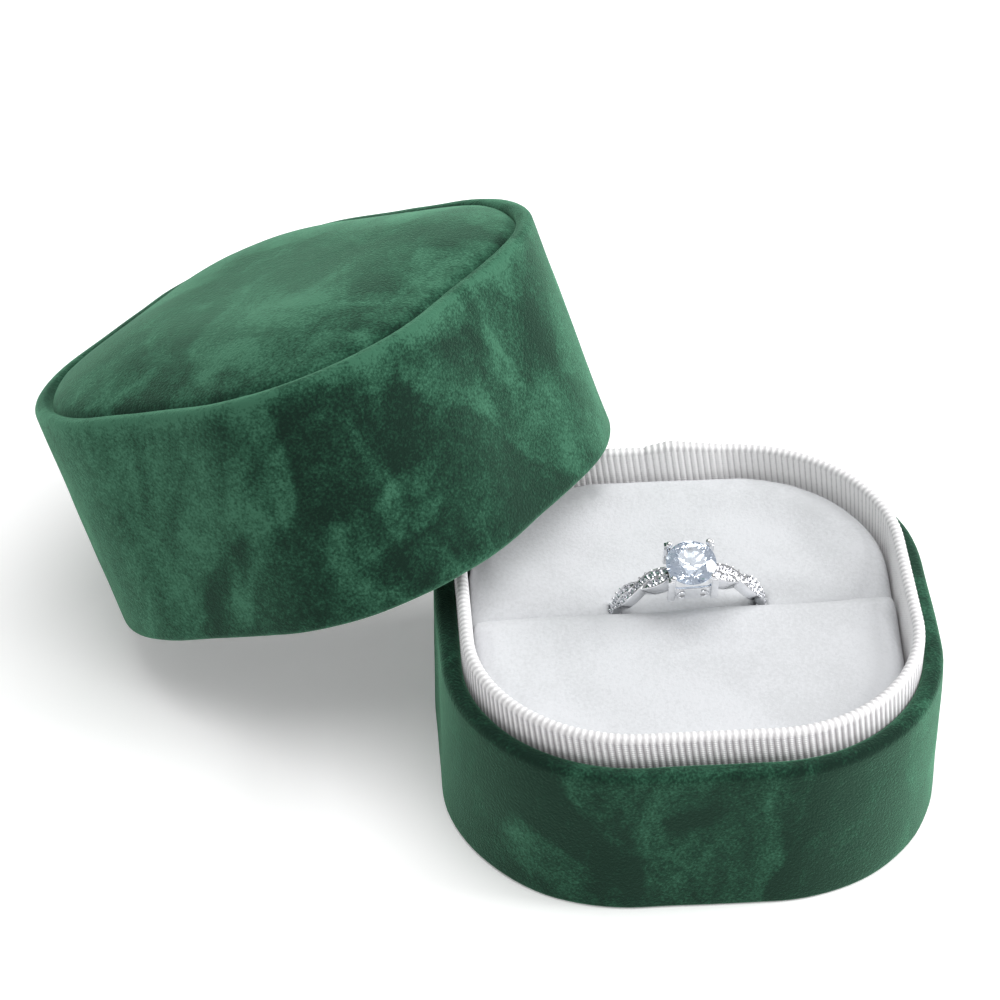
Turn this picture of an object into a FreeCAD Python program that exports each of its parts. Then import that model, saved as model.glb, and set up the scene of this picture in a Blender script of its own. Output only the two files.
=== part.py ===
# Ring box with a lift-off lid, standing open with a ring in its slit. Millimetres.
# The origin is the centre of the base's underside: +X along the slit, -Y to the front, +Z up.

import FreeCAD, Part
import math
import os

Vector = FreeCAD.Vector
Rotation = FreeCAD.Rotation
Placement = FreeCAD.Placement

# The box's outline, shared by the base and the lid
box_width = 60.0
corner_radius = 22.4
base_height = 20.7
lid_height = 30.5

# Board, cloth and paper
velvet = 0.6
turn_in = 0.4
base_board = 1.5
floor_board = 2.0
bottom_cover = 0.5
cover_margin = 5.0
cover_gap = 0.2
rim_round = 0.8
foot_round = 0.4
base_turn_in_depth = 8.0

# Neck that the lid slides over
neck_stand = 3.6
neck_card = 1.0
ribbon = 0.3
ribbon_depth = 9.0
lid_clearance = 0.3

# Two velvet-covered foam pads with the slit between them
pad_drop = 4.3
pad_gap = 0.4
pad_velvet = 0.5
slit_gap = 0.4
slit_y = 0.7
slit_turn = 1.5
slit_lean = 20.0

# Lid
lid_turn_in_depth = 6.0
top_turn_in_depth = 4.0
top_board = 2.0
top_sink = 1.2
top_velvet = 0.5
top_gap = 0.1
dome_rise = 2.1
ceiling_pad = 2.0

# How the lid is set down: one rim point on the table, its near rim on the neck
lid_heading = 136.5
lid_spin = -35.1
lid_reach = 14.9
lid_shift = 5.6
rest_gap = 0.25
table_gap = 0.15

# Ring
ring_x = 0.5
ring_behind_slit = 1.25
ring_bore = 17.3
shank_thickness = 2.1
shank_width = 2.4
ring_sink = 3.6
pocket_gap = 0.3
strand_radius = 0.8
strand_start = 14.0
strand_end = 68.0
strand_overlap = 2.0
strand_cross = 33.0
strand_tilt = 5.5
strand_step = 0.25
pave_radius = 0.38
pave_height = 0.3
pave_sink = 0.18
pave_count = 9
pave_cover = 9.0

# Head and centre stone
stone_diameter = 6.4
stone_crown = 1.0
stone_girdle = 0.15
stone_pavilion = 2.7
stone_table = 3.6
girdle_above_bore = 4.1
prong_radius = 0.42
prong_above_girdle = 0.7
prong_foot_below_bore = 0.3
setting_gap = 0.02
gallery_wire = 0.3
gallery_above_foot = 0.6
gallery_below_girdle = 1.3

# Worked out from the sizes above
up = Vector(0, 0, 1)
wall_inset = velvet + base_board + turn_in
neck_thickness = neck_card + 2 * ribbon
neck_top = base_height + neck_stand
floor_top = bottom_cover + floor_board
pad_top = neck_top - pad_drop
pad_inset = wall_inset + neck_thickness + pad_gap
lid_wall = wall_inset - lid_clearance
lid_board = lid_wall - velvet - turn_in
panel_inset = lid_wall + top_gap
panel_bottom = lid_height - top_sink - top_board
bore_radius = ring_bore / 2
shank_radius = bore_radius + shank_thickness
stone_radius = stone_diameter / 2
girdle_height = bore_radius + girdle_above_bore
shank_middle = bore_radius + shank_thickness / 2
prong_spread = stone_radius + setting_gap + prong_radius
prong_foot = bore_radius - prong_foot_below_bore
gallery_radius = prong_spread - gallery_wire
strand_swing = math.radians(strand_end - strand_cross)
strand_offset = (shank_middle + strand_step) * math.sin(math.radians(strand_tilt)) * math.sin(strand_swing)
ring_half_width = max(shank_width / 2, strand_offset + strand_radius)
slit_place = Placement(Vector(0, slit_y, pad_top), Rotation(up, slit_turn))
lean_turn = Rotation(Vector(1, 0, 0), slit_lean)
lean_place = slit_place * Placement(Vector(ring_x, ring_behind_slit, 0), lean_turn)
ring_place = lean_place * Placement(Vector(0, 0, -ring_sink), Rotation())


# ---- outlines ----

def outline(inset):
    # Rounded square of the box, moved inwards by the inset, as lines and arcs
    half = box_width / 2 - inset
    radius = corner_radius - inset
    flat = half - radius
    diagonal = flat + radius * math.sqrt(0.5)
    edges = []
    for quarter in range(4):
        turn = Rotation(up, 90 * quarter)
        start = turn.multVec(Vector(half, flat, 0))
        middle = turn.multVec(Vector(diagonal, diagonal, 0))
        finish = turn.multVec(Vector(flat, half, 0))
        side_end = turn.multVec(Vector(-flat, half, 0))
        edges.append(Part.Arc(start, middle, finish).toShape())
        edges.append(Part.LineSegment(finish, side_end).toShape())
    return Part.Wire(edges)


def block(inset, bottom, top):
    face = Part.Face(outline(inset))
    face.translate(Vector(0, 0, bottom))
    return face.extrude(Vector(0, 0, top - bottom))


def tube(outer_inset, inner_inset, bottom, top):
    return block(outer_inset, bottom, top).cut(block(inner_inset, bottom, top))


def rounded_at(solid, height, radius):
    # Rounds every edge that lies flat at one height
    edges = []
    for edge in solid.Edges:
        bounds = edge.BoundBox
        if abs(bounds.ZMin - height) < 1e-4 and abs(bounds.ZMax - height) < 1e-4:
            edges.append(edge)
    return solid.makeFillet(radius, edges)


def centred_box(width, depth, bottom, top):
    return Part.makeBox(width, depth, top - bottom, Vector(-width / 2, -depth / 2, bottom))


# ---- base ----

def make_base_velvet():
    skin = tube(0, wall_inset, 0, base_height)
    skin = rounded_at(skin, base_height, rim_round)
    outer_foot = [edge for edge in skin.Edges if lies_at_foot(edge)]
    skin = skin.makeFillet(foot_round, outer_foot)
    board_side = velvet + base_board
    skin = skin.cut(tube(velvet, board_side, bottom_cover, base_height - velvet))
    skin = skin.cut(tube(board_side, wall_inset, 0, base_height - base_turn_in_depth))
    return skin.fuse(tube(board_side, cover_margin, 0, bottom_cover)).removeSplitter()


def lies_at_foot(edge):
    # The outer bottom edge: flat at zero and outside the board
    bounds = edge.BoundBox
    reach = max(bounds.XMax, -bounds.XMin, bounds.YMax, -bounds.YMin)
    return bounds.ZMax < 1e-4 and reach > box_width / 2 - velvet


def make_base():
    board_side = velvet + base_board
    card_inset = wall_inset + ribbon
    card = tube(card_inset, card_inset + neck_card, floor_top, neck_top - ribbon)
    return {
        "base_velvet": make_base_velvet(),
        "base_wall_board": tube(velvet, board_side, bottom_cover, base_height - velvet),
        "base_floor_board": block(board_side, bottom_cover, floor_top),
        "base_bottom_cover": block(cover_margin + cover_gap, 0, bottom_cover),
        "neck_card": card,
        "neck_ribbon": make_ribbon(card),
    }


def make_ribbon(card):
    # Folded over the card's top edge, with a leg down each side
    fold = tube(wall_inset, wall_inset + neck_thickness, neck_top - ribbon_depth, neck_top)
    fold = rounded_at(fold, neck_top, neck_thickness / 2 - 0.5 * ribbon)
    return fold.cut(card)


# ---- pads ----

def half_space(side, gap):
    # Everything on one side of the slit: -1 is the front, 1 is the rear
    depth = 2 * box_width
    solid = centred_box(depth, depth, -depth, depth)
    solid.translate(Vector(0, side * (depth / 2 + gap), 0))
    solid.Placement = slit_place * solid.Placement
    return solid


def ring_pocket(grow):
    # Straight slanted pocket that the ring slides up out of
    width = 2 * (shank_radius + pocket_gap + grow)
    depth = 2 * (ring_half_width + pocket_gap + grow)
    lowest = -ring_sink - shank_radius - pocket_gap - grow
    pocket = centred_box(width, depth, lowest, box_width)
    pocket.Placement = lean_place
    return pocket


def make_pad(side):
    foam = block(pad_inset + pad_velvet, floor_top, pad_top - pad_velvet)
    foam = foam.common(half_space(side, slit_gap / 2 + pad_velvet))
    foam = foam.cut(ring_pocket(pad_velvet))
    cover = block(pad_inset, floor_top, pad_top)
    cover = cover.common(half_space(side, slit_gap / 2))
    cover = cover.cut(ring_pocket(0)).cut(foam)
    return foam, cover


def make_pads():
    pieces = {}
    for name, side in (("front", -1), ("rear", 1)):
        pieces["pad_foam_" + name], pieces["pad_velvet_" + name] = make_pad(side)
    return pieces


# ---- lid, built upright on its own rim plane ----

def dome(inset, rise):
    # Block with a gently domed top, whose edge at mid-side is at the wall's top
    half = box_width / 2 - panel_inset
    sphere_radius = (half ** 2 + dome_rise ** 2) / (2 * dome_rise)
    ball = Part.makeSphere(sphere_radius, Vector(0, 0, lid_height + rise - sphere_radius))
    return block(inset, panel_bottom, lid_height + dome_rise).common(ball)


def make_lid_velvet():
    skin = tube(0, lid_wall, 0, lid_height)
    skin = rounded_at(skin, 0, rim_round)
    skin = rounded_at(skin, lid_height, rim_round)
    skin = skin.cut(tube(velvet, velvet + lid_board, velvet, lid_height - velvet))
    lining_top = lid_height - top_turn_in_depth
    return skin.cut(tube(velvet + lid_board, lid_wall, lid_turn_in_depth, lining_top))


def make_lid():
    board_side = velvet + lid_board
    filling = dome(panel_inset + top_velvet, dome_rise - top_velvet)
    panel_board = block(panel_inset + top_velvet, panel_bottom, panel_bottom + top_board)
    return {
        "lid_velvet": make_lid_velvet(),
        "lid_wall_board": tube(velvet, board_side, velvet, lid_height - velvet),
        "lid_lining": tube(board_side, lid_wall, lid_turn_in_depth, lid_height - top_turn_in_depth),
        "lid_top_board": panel_board,
        "lid_top_foam": filling.cut(panel_board),
        "lid_top_velvet": dome(panel_inset, dome_rise).cut(filling),
        "lid_ceiling_pad": block(panel_inset, panel_bottom - ceiling_pad, panel_bottom),
    }


# ---- where the lid stands ----

def reach_towards(angle):
    # How far the outline reaches from its centre in one direction
    flat = box_width / 2 - corner_radius
    return flat * (abs(math.cos(angle)) + abs(math.sin(angle))) + corner_radius


def lid_place_at(tilt):
    # The lid tipped by one angle, its lowest rim point just above the table
    heading = math.radians(lid_heading)
    reach = reach_towards(heading - math.radians(lid_spin))
    ahead = reach_towards(heading) + reach * math.cos(tilt) - lid_reach
    height = (reach - rim_round) * math.sin(tilt) + rim_round * (1 - math.cos(tilt)) + table_gap
    across = Vector(-math.sin(heading), math.cos(heading), 0)
    centre = Vector(math.cos(heading), math.sin(heading), 0) * ahead + across * lid_shift
    centre.z = height
    lean = Rotation(across, math.degrees(tilt))
    return Placement(centre, lean * Rotation(up, lid_spin))


def depth_inside(point):
    # How far a point of the rim plane lies inside the outline
    flat = box_width / 2 - corner_radius
    beyond_x = abs(point.x) - flat
    beyond_y = abs(point.y) - flat
    corner = math.hypot(max(beyond_x, 0), max(beyond_y, 0))
    return corner_radius - corner - min(max(beyond_x, beyond_y), 0)


def gap_over_neck(tilt, neck_line):
    # Smallest gap between the lid's rim and the neck's rounded top
    inverse = lid_place_at(tilt).inverse()
    gap = lid_height
    for point in neck_line:
        local = inverse.multVec(point)
        inside = depth_inside(local)
        if 0 < inside < lid_wall:
            gap = min(gap, -local.z - neck_thickness / 2)
    return gap


def find_lid_place():
    # Tips the lid until its rim comes down on the neck
    neck_line = outline(wall_inset + neck_thickness / 2).discretize(720)
    for point in neck_line:
        point.z = neck_top - neck_thickness / 2
    low = 0.0
    high = math.radians(70)
    for halving in range(30):
        tilt = (low + high) / 2
        if gap_over_neck(tilt, neck_line) < rest_gap:
            low = tilt
        else:
            high = tilt
    return lid_place_at(high)


# ---- ring, built upright around its own centre ----

def at_angle(radius, degrees):
    # A point of the ring's plane, measured from its top
    angle = math.radians(degrees)
    return Vector(radius * math.sin(angle), 0, radius * math.cos(angle))


def make_strand(side, cross):
    # One of two round strands that cross on the shoulder, one over the other
    radius = shank_middle + cross * strand_step
    axis = Rotation(at_angle(1, side * strand_cross), cross * strand_tilt).multVec(Vector(0, 1, 0))
    crossing = at_angle(radius, side * strand_cross)
    start = Rotation(axis, side * (strand_start - strand_cross)).multVec(crossing)
    along = axis.cross(start)
    circle = Part.makeCircle(strand_radius, start, along)
    face = Part.Face(Part.Wire([circle]))
    return face.revolve(Vector(0, 0, 0), axis, side * (strand_end - strand_start))


def make_lower_band():
    half = shank_width / 2
    start = strand_end - strand_overlap
    corners = []
    for radius, y in ((bore_radius, -half), (shank_radius, -half), (shank_radius, half), (bore_radius, half)):
        corners.append(at_angle(radius, start) + Vector(0, y, 0))
    face = Part.Face(Part.makePolygon(corners + corners[:1]))
    return face.revolve(Vector(0, 0, 0), Vector(0, 1, 0), 360 - 2 * start)


def strand_stones(side, cross):
    # Small stones let into one strand's outside, save where the other strand covers it
    stones = []
    crossing = at_angle(1, side * strand_cross)
    axis = Rotation(crossing, cross * strand_tilt).multVec(Vector(0, 1, 0))
    seat_radius = shank_middle + cross * strand_step + strand_radius - pave_sink
    step = (strand_end - strand_start) / (pave_count + 1)
    for number in range(1, pave_count + 1):
        turn = strand_start + number * step - strand_cross
        if cross > 0 or abs(turn) > pave_cover:
            outward = Rotation(axis, side * turn).multVec(crossing)
            seat = outward * seat_radius
            stones.append(Part.makeCylinder(pave_radius, pave_height, seat, outward))
    return stones


def make_pave_stones():
    stones = []
    for side in (-1, 1):
        for cross in (-1, 1):
            stones.extend(strand_stones(side, cross))
    return Part.makeCompound(stones)


def make_prong(x_side, y_side):
    foot = Vector(x_side, y_side, 0) * (math.sqrt(0.5) * prong_spread) + up * prong_foot
    length = girdle_height + prong_above_girdle - prong_foot
    post = Part.makeCylinder(prong_radius, length, foot)
    return post.fuse(Part.makeSphere(prong_radius, foot + up * length))


def make_head():
    # Four straight posts joined by two round gallery wires
    upper = Part.makeTorus(gallery_radius, gallery_wire, up * (girdle_height - gallery_below_girdle))
    lower = Part.makeTorus(gallery_radius, gallery_wire, up * (prong_foot + gallery_above_foot))
    posts = [make_prong(x_side, y_side) for x_side in (-1, 1) for y_side in (-1, 1)]
    return upper.multiFuse([lower] + posts)


def make_centre_stone():
    girdle_top = girdle_height + stone_girdle
    culet = Vector(0, 0, girdle_height - stone_pavilion)
    pavilion = Part.makeCone(0, stone_radius, stone_pavilion, culet)
    girdle = Part.makeCylinder(stone_radius, stone_girdle, Vector(0, 0, girdle_height))
    crown = Part.makeCone(stone_radius, stone_table / 2, stone_crown, Vector(0, 0, girdle_top))
    return pavilion.fuse(girdle).fuse(crown)


def make_ring():
    head = make_head()
    stone = make_centre_stone()
    stones = make_pave_stones()
    strands = [make_strand(side, cross) for side in (-1, 1) for cross in (-1, 1)]
    shank = make_lower_band().multiFuse(strands)
    return {
        "ring_shank": shank.cut(head).cut(stones),
        "ring_head": head.cut(stone),
        "centre_stone": stone,
        "pave_stones": stones,
    }


# ---- the whole ----

def placed(pieces, place):
    for shape in pieces.values():
        shape.Placement = place * shape.Placement
    return pieces


def main():
    os.makedirs("parts", exist_ok=True)
    pieces = make_base()
    pieces.update(make_pads())
    pieces.update(placed(make_lid(), find_lid_place()))
    pieces.update(placed(make_ring(), ring_place))
    for name, shape in pieces.items():
        shape.exportStep("parts/" + name + ".step")
        print(name, len(shape.Solids), "solid", round(shape.Volume, 1), shape.isValid())


main()
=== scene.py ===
# A green velvet ring box, its lid leaning on the neck and a ring standing in the slit.
# Settings are in millimetres; mm turns them into the scene's metres.

import math
import bpy
from mathutils import Matrix, Vector


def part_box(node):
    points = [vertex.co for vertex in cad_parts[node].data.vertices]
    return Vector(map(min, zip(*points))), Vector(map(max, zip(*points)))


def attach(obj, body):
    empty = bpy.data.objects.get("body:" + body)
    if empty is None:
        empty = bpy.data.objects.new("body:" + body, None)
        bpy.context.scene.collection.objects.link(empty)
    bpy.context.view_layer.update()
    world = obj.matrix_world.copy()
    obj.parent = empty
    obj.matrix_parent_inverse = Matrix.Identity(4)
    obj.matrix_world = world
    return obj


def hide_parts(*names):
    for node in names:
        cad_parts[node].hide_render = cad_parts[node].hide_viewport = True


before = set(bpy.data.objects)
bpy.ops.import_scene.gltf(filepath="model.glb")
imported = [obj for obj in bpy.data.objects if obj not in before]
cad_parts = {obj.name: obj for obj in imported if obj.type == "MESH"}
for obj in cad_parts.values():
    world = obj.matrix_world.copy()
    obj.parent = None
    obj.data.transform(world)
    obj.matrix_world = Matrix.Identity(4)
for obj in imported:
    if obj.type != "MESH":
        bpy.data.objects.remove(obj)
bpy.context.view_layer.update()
mm = 0.001
touch = 1e-6  # places nearer than this, in metres, count as one

camera = {
    "turn": -3.842,  # degrees round the box, from straight in front
    "height": 38.428,  # degrees above the table
    "lens": 137.59,
    "sensor": 36.0,
    "place": (-45.93, -350.54, 317.21),
}

box = {
    "width": 60.0,
    "baseHeight": 20.7,
    "corner": 22.4,
    "ledge": 2.5,  # rim of the base outside the neck
    "rimRound": 1.0,
    "footRound": 0.5,
    "wave": 0.16,  # how far the velvet wanders from flat
    "waveSize": 11.0,
    "rimInset": 0.3,  # middle of the turned cloth, in from the rim
    "rimSpread": 1.6,
    "longEdge": 5.0,
    "upCuts": 16,
    "roundCuts": 12,
}

lid = {
    "place": (-37.2049, 27.586, 13.7942),
    "turn": (-4.1932, -26.3429, -34.1183),
    "height": 30.5,
    "wall": 2.2,
    "lipRound": 0.95,
}


# Small tools for picking and shaping

def leaveEdit():
    bpy.ops.object.mode_set(mode="OBJECT")


def chooseAll():
    bpy.ops.mesh.select_all(action="SELECT")


def editAll():
    bpy.ops.object.mode_set(mode="EDIT")
    chooseAll()


def extrude(move):
    bpy.ops.mesh.extrude_region_move(TRANSFORM_OT_translate={"value": move})


def roundEdges(amount, segments):
    bpy.ops.mesh.bevel(offset=amount * mm, segments=segments, affect="EDGES")


def moveBy(move):
    bpy.ops.transform.translate(value=move)


def applyTransform(location=False, rotation=False, scale=False):
    bpy.ops.object.transform_apply(location=location, rotation=rotation, scale=scale)


def clearSelection():
    active = bpy.context.view_layer.objects.active
    if active and active.mode != "OBJECT":
        leaveEdit()
    bpy.ops.object.select_all(action="DESELECT")


def activate(piece):
    clearSelection()
    piece.select_set(True)
    bpy.context.view_layer.objects.active = piece


def pick(piece, kind, test):  # ends in edit mode with only the chosen faces, edges or points
    activate(piece)
    bpy.ops.object.mode_set(mode="EDIT")
    bpy.ops.mesh.select_mode(type=kind)
    bpy.ops.mesh.select_all(action="DESELECT")
    leaveEdit()
    mesh = piece.data
    parts = {"FACE": mesh.polygons, "EDGE": mesh.edges, "VERT": mesh.vertices}[kind]
    for part in parts:
        part.select = test(mesh, part)
    bpy.ops.object.mode_set(mode="EDIT")


def edgeEnds(mesh, edge):
    return mesh.vertices[edge.vertices[0]].co, mesh.vertices[edge.vertices[1]].co


def flatAt(height):  # edges that lie level at one height
    def test(mesh, edge):
        start, end = edgeEnds(mesh, edge)
        return abs(start.z - height) < touch and abs(end.z - height) < touch
    return test


def alongX(reach):  # edges that run further than this along X
    def test(mesh, edge):
        start, end = edgeEnds(mesh, edge)
        return abs(start.x - end.x) > reach
    return test


def applyModifiers(piece):
    activate(piece)
    for modifier in list(piece.modifiers):
        bpy.ops.object.modifier_apply(modifier=modifier.name)


def tidyMesh(piece, closeness=touch):  # merges doubles and turns faces outwards
    activate(piece)
    editAll()
    bpy.ops.mesh.remove_doubles(threshold=closeness)
    bpy.ops.mesh.normals_make_consistent(inside=False)
    leaveEdit()


def smooth(piece, degrees=45):
    activate(piece)
    bpy.ops.object.shade_smooth_by_angle(angle=math.radians(degrees))


def settle(piece, place, turn):  # moves a piece for good, its object staying at the origin
    activate(piece)
    piece.location = Vector(place) * mm
    piece.rotation_euler = [math.radians(angle) for angle in turn]
    applyTransform(location=True, rotation=True)


def join(pieces, name):
    activate(pieces[0])
    for piece in pieces:
        piece.select_set(True)
    bpy.ops.object.join()
    pieces[0].name = name
    return pieces[0]


def addRoundedPlate(name, width, corner, height, cuts=24):
    clearSelection()
    bpy.ops.mesh.primitive_plane_add(size=width, location=(0, 0, height))
    plate = bpy.context.object
    plate.name = name
    applyTransform(location=True)
    editAll()
    bpy.ops.mesh.bevel(offset=corner, segments=cuts, affect="VERTICES")
    leaveEdit()
    return plate


def wander(piece, amount, size):  # slow uneven swell of cloth over board
    cloud = bpy.data.textures.new(piece.name + "Swell", "CLOUDS")
    cloud.noise_scale = size * mm
    cloud.noise_depth = 1
    swell = piece.modifiers.new("swell", "DISPLACE")
    swell.texture = cloud
    swell.texture_coords = "LOCAL"
    swell.strength = amount * mm * 2
    swell.mid_level = 0.5
    applyModifiers(piece)


def cover(piece, material):
    piece.data.materials.clear()
    piece.data.materials.append(material)


def finishPiece(piece, body, material, slotName, *nodes):
    cover(piece, material)
    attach(piece, body)
    if nodes:
        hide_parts(*nodes)


# Materials

def newMaterial(name):
    material = bpy.data.materials.new(name)
    material.use_nodes = True
    tree = material.node_tree
    return material, tree, tree.nodes["Principled BSDF"]


def setInputs(node, values):  # plain values on a node's own sockets
    for name, value in values.items():
        node.inputs[name].default_value = value


def addNoise(tree, vector, size, detail=2.0, roughness=0.5, distortion=0.0):
    noise = tree.nodes.new("ShaderNodeTexNoise")
    setInputs(noise, {
        "Scale": 1 / (size * mm),
        "Detail": detail,
        "Roughness": roughness,
        "Distortion": distortion,
    })
    tree.links.new(vector, noise.inputs["Vector"])
    return noise.outputs["Fac"]


def addRamp(tree, factor, stops):
    ramp = tree.nodes.new("ShaderNodeValToRGB")
    ramp.color_ramp.interpolation = "EASE"
    while len(ramp.color_ramp.elements) < len(stops):
        ramp.color_ramp.elements.new(0.5)
    for element, (place, colour) in zip(ramp.color_ramp.elements, stops):
        element.position = place
        element.color = (*colour, 1)
    tree.links.new(factor, ramp.inputs["Fac"])
    return ramp.outputs["Color"]


def paint(tree, shader, factor, stops):
    tree.links.new(addRamp(tree, factor, stops), shader.inputs["Base Color"])


def addMath(tree, operation, first, second, third=None):
    step = tree.nodes.new("ShaderNodeMath")
    step.operation = operation
    for socket, value in zip(step.inputs, (first, second, third)):
        if value is None:
            continue
        if isinstance(value, (int, float)):
            socket.default_value = value
        else:
            tree.links.new(value, socket)
    return step.outputs[0]


def addSway(tree, noise, weight, base):  # adds noise counted from its middle
    centred = addMath(tree, "SUBTRACT", noise, 0.5)
    return addMath(tree, "MULTIPLY_ADD", centred, weight, base)


def addMix(tree, blend, factor, first, second):
    mix = tree.nodes.new("ShaderNodeMix")
    mix.data_type = "RGBA"
    mix.blend_type = blend
    sockets = (mix.inputs[0], mix.inputs[6], mix.inputs[7])  # factor and the two colours
    for socket, value in zip(sockets, (factor, first, second)):
        if isinstance(value, (int, float)):
            socket.default_value = value
        elif isinstance(value, tuple):
            socket.default_value = (*value, 1)
        else:
            tree.links.new(value, socket)
    return mix.outputs[2]


def addBump(tree, shader, height, depth):
    bump = tree.nodes.new("ShaderNodeBump")
    setInputs(bump, {"Distance": depth * mm, "Strength": 1.0})
    tree.links.new(height, bump.inputs["Height"])
    tree.links.new(bump.outputs["Normal"], shader.inputs["Normal"])


def mapped(tree, turn=(0, 0, 0), stretch=(1, 1, 1), shift=(0, 0, 0)):
    place = tree.nodes.new("ShaderNodeTexCoord")
    mapping = tree.nodes.new("ShaderNodeMapping")
    setInputs(mapping, {
        "Rotation": [math.radians(angle) for angle in turn],
        "Scale": stretch,
        "Location": [value * mm for value in shift],
    })
    tree.links.new(place.outputs["Object"], mapping.inputs["Vector"])
    return mapping.outputs["Vector"]


greenVelvet = {
    # The ramp's input is the nap's brushing with the painted shade and painted rim light added in.
    "colours": (  # how far the nap is brushed up, and its colour
        (0.34, (0.0035, 0.015, 0.010)),
        (0.44, (0.0075, 0.034, 0.020)),
        (0.53, (0.018, 0.070, 0.041)),
        (0.66, (0.042, 0.135, 0.082)),
    ),
    "patchSize": 24.0,
    "patchStep": 0.075,  # how far the nap changes across a patch's edge
    "strokeSize": 9.0,
    "strokeWeight": 0.55,
    "plain": 0.225,  # brushing before the strokes and patches are added
    "grainSize": 0.34,
    "grainWeight": 0.56,
    "tuftSize": 1.36,
    "tuftWeight": 0.2,
    "pileDepth": 0.12,
    "surface": {
        "Roughness": 0.95,
        "Specular IOR Level": 0.12,
        "Sheen Weight": 0.6,
        "Sheen Roughness": 0.45,
        "Sheen Tint": (0.32, 0.75, 0.49, 1),
    },
}


# The nap lies differently in each brushed patch; on top of that, each piece's copy is darkened by
# painted shade, and its rims get painted light (painted shade where that amount is below nought).
def makeGreenVelvet(name, turn, shift, paintedShade, paintedRimShading):
    values = greenVelvet
    material, tree, shader = newMaterial(name)
    wide = mapped(tree, turn=turn, shift=shift)
    strokes = mapped(tree, turn=turn, stretch=(1.0, 1.0, 0.45), shift=shift)
    patches = addNoise(tree, wide, values["patchSize"], 3.0, 0.5, 0.8)
    swept = addRamp(tree, patches, [(0.46, (0, 0, 0)), (0.54, (1, 1, 1))])
    brushing = addNoise(tree, strokes, values["strokeSize"], 3.0, 0.6, 1.2)
    grain = addNoise(tree, wide, values["grainSize"], 3.0, 0.7)
    tufts = addNoise(tree, wide, values["tuftSize"], 2.0, 0.6)
    start = values["plain"] - values["patchStep"]
    nap = addMath(tree, "MULTIPLY_ADD", brushing, values["strokeWeight"], start)
    nap = addMath(tree, "MULTIPLY_ADD", swept, 2 * values["patchStep"], nap)
    nap = addSway(tree, grain, values["grainWeight"], nap)
    nap = addSway(tree, tufts, values["tuftWeight"], nap)
    # Painted shade: the whole copy is darkened for the light its piece gets.
    nap = addMath(tree, "ADD", nap, paintedShade)
    # Painted light along the rims where the cloth turns over; a negative amount paints shade there
    # instead.
    rim = tree.nodes.new("ShaderNodeAttribute")
    rim.attribute_name = "rim"
    nap = addMath(tree, "MULTIPLY_ADD", rim.outputs["Fac"], paintedRimShading, nap)
    paint(tree, shader, nap, values["colours"])
    setInputs(shader, values["surface"])
    addBump(tree, shader, grain, values["pileDepth"])
    return material


whiteVelvet = {
    "colours": ((0.35, (0.51, 0.52, 0.535)), (0.6, (0.58, 0.59, 0.61))),
    "grainSize": 0.45,
    "patchSize": 12.0,
    "pileDepth": 0.06,
    "surface": {
        "Roughness": 1.0,
        "Specular IOR Level": 0.1,
        "Sheen Weight": 0.1,
        "Sheen Roughness": 0.5,
    },
}


def makeWhiteVelvet(name):
    values = whiteVelvet
    material, tree, shader = newMaterial(name)
    place = mapped(tree)
    grain = addNoise(tree, place, values["grainSize"], 3.0, 0.7)
    patches = addNoise(tree, place, values["patchSize"], 2.0)
    mixed = addMath(tree, "MULTIPLY", patches, 0.5)
    mixed = addMath(tree, "MULTIPLY_ADD", grain, 0.5, mixed)
    paint(tree, shader, mixed, values["colours"])
    setInputs(shader, values["surface"])
    addBump(tree, shader, grain, values["pileDepth"])
    return material


ribbonCloth = {
    # Painted light and shade across each rib: painted shade in the grooves, a painted highlight on the
    # crowns and white painted glints on the threads.
    "legs": (  # from the grooves, over flank and crown, to the glints
        (0.02, (0.34, 0.325, 0.335)),
        (0.17, (0.50, 0.485, 0.505)),
        (0.42, (0.66, 0.65, 0.67)),
        (0.64, (1.0, 1.0, 1.0)),
    ),
    # The inner leg is painted lighter, standing in for the light it gets.
    "inside": ((0.0, (0.68, 0.66, 0.67)), (0.24, (0.97, 0.96, 0.96))),
    # On the fold the rib shading is painted apart: lighter, with shallower painted groove shade and no
    # glints.
    "fold": ((0.05, (0.60, 0.59, 0.60)), (0.4, (0.84, 0.835, 0.84))),
    "foldPlace": 9.25,  # along the ribbon from its inner end
    "foldFade": ((0.35, (1, 1, 1)), (0.6, (0, 0, 0))),  # by half the distance from the fold
    "threadPitch": 0.3,
    "threadDepth": 0.05,
    # how strongly the thread glints are painted
    "threadLight": 0.8,
    "darken": 0.04,
    "fuzzSize": 0.35,
    "fuzz": 0.3,
    "surface": {"Roughness": 0.38, "Specular IOR Level": 0.4, "Sheen Weight": 0.15},
}


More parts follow.
